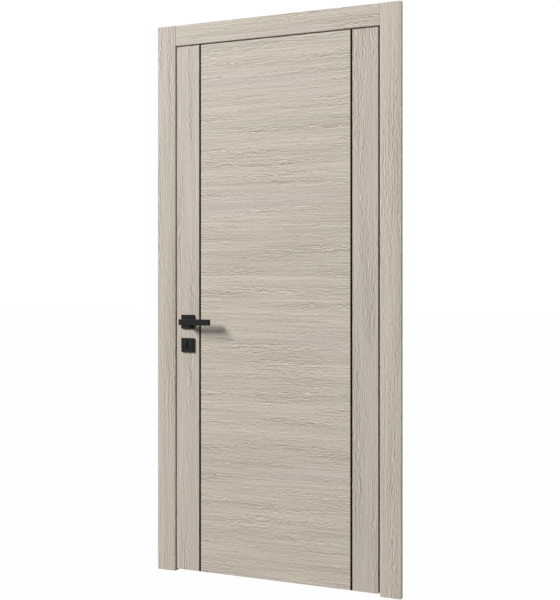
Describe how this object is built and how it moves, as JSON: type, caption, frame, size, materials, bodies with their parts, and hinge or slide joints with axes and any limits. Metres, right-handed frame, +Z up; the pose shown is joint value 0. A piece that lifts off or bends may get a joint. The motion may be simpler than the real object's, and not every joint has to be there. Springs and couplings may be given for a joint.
{
  "type": "interior door with lining and casings",
  "caption": "Flush single-leaf interior door in bleached oak decor, hung in its lining with flat casings, with dark upright inlays, a square-edged black lever and a key plate.",
  "frame": {"origin": "on the outer, wall-side face of the hinge jamb, halfway through the wall, at floor level", "axes": "+X from the latch side to the hinge side and out of the hinge jamb into the wall, +Y through the wall away from the pull side, +Z up"},
  "size_m": [0.9944, 0.175, 2.125],
  "materials": {
    "lining_wood": "matt bleached oak decor, grain upright",
    "casing_wood": "matt bleached oak decor, grain along the board",
    "stile_wood": "matt bleached oak decor, grain upright",
    "panel_wood": "matt bleached oak decor, grain across the leaf",
    "dark_inlay": "satin near-black",
    "black_metal": "matt black",
    "gasket": "matt brown-grey",
    "hinge_metal": "satin dark grey",
    "lock_steel": "brushed, dark"
  },
  "bodies": {
    "frame": {"hinge_jamb": "lining_wood", "latch_jamb": "lining_wood", "head_jamb": "lining_wood", "hinge_stop": "lining_wood", "latch_stop": "lining_wood", "head_stop": "lining_wood", "casing_right": "casing_wood", "casing_left": "casing_wood", "casing_head": "casing_wood", "hinge_gasket": "gasket", "latch_gasket": "gasket", "head_gasket": "gasket", "lower_frame_housing": "hinge_metal", "upper_frame_housing": "hinge_metal", "strike_plate": "lock_steel"},
    "frame_arms": {"lower_frame_arm": "hinge_metal", "upper_frame_arm": "hinge_metal"},
    "leaf_arms": {"lower_leaf_arms": "hinge_metal", "upper_leaf_arms": "hinge_metal"},
    "leaf": {"hinge_stile": "stile_wood", "latch_stile": "stile_wood", "centre_panel": "panel_wood", "front_strip_left": "dark_inlay", "front_strip_right": "dark_inlay", "rear_strip_left": "dark_inlay", "rear_strip_right": "dark_inlay", "lock_forend": "lock_steel", "latch_bolt": "lock_steel", "dead_bolt": "lock_steel", "front_rose": "black_metal", "rear_rose": "black_metal", "front_key_plate": "black_metal", "rear_key_plate": "black_metal", "lower_leaf_housing": "hinge_metal", "upper_leaf_housing": "hinge_metal"},
    "handle": {"front_lever": "black_metal", "rear_lever": "black_metal", "spindle": "lock_steel"}
  },
  "joints": [
    {"name": "door_swing", "type": "hinge", "parent": "frame", "child": "leaf", "pos_m": [-0.0331, -0.0705, 0], "axis": [0, 0, 1], "range_deg": [0, 175]},
    {"name": "frame_arm_swing", "type": "hinge", "parent": "frame", "child": "frame_arms", "pos_m": [-0.0331, -0.0705, 0], "axis": [0, 0, 1], "range_deg": [0, 60]},
    {"name": "leaf_arm_swing", "type": "hinge", "parent": "frame", "child": "leaf_arms", "pos_m": [-0.0331, -0.0705, 0], "axis": [0, 0, 1], "range_deg": [0, 120]},
    {"name": "lever_turn", "type": "hinge", "parent": "leaf", "child": "handle", "pos_m": [-0.8082, -0.048, 0.972], "axis": [0, 1, 0], "range_deg": [0, 45], "stiffness_Nm_per_rad": 1.5, "springref_deg": -17.19}
  ],
  "couplings": [
    {"joint": "frame_arm_swing", "follows": "door_swing", "ratio": 0.33333},
    {"joint": "leaf_arm_swing", "follows": "door_swing", "ratio": 0.66667}
  ]
}
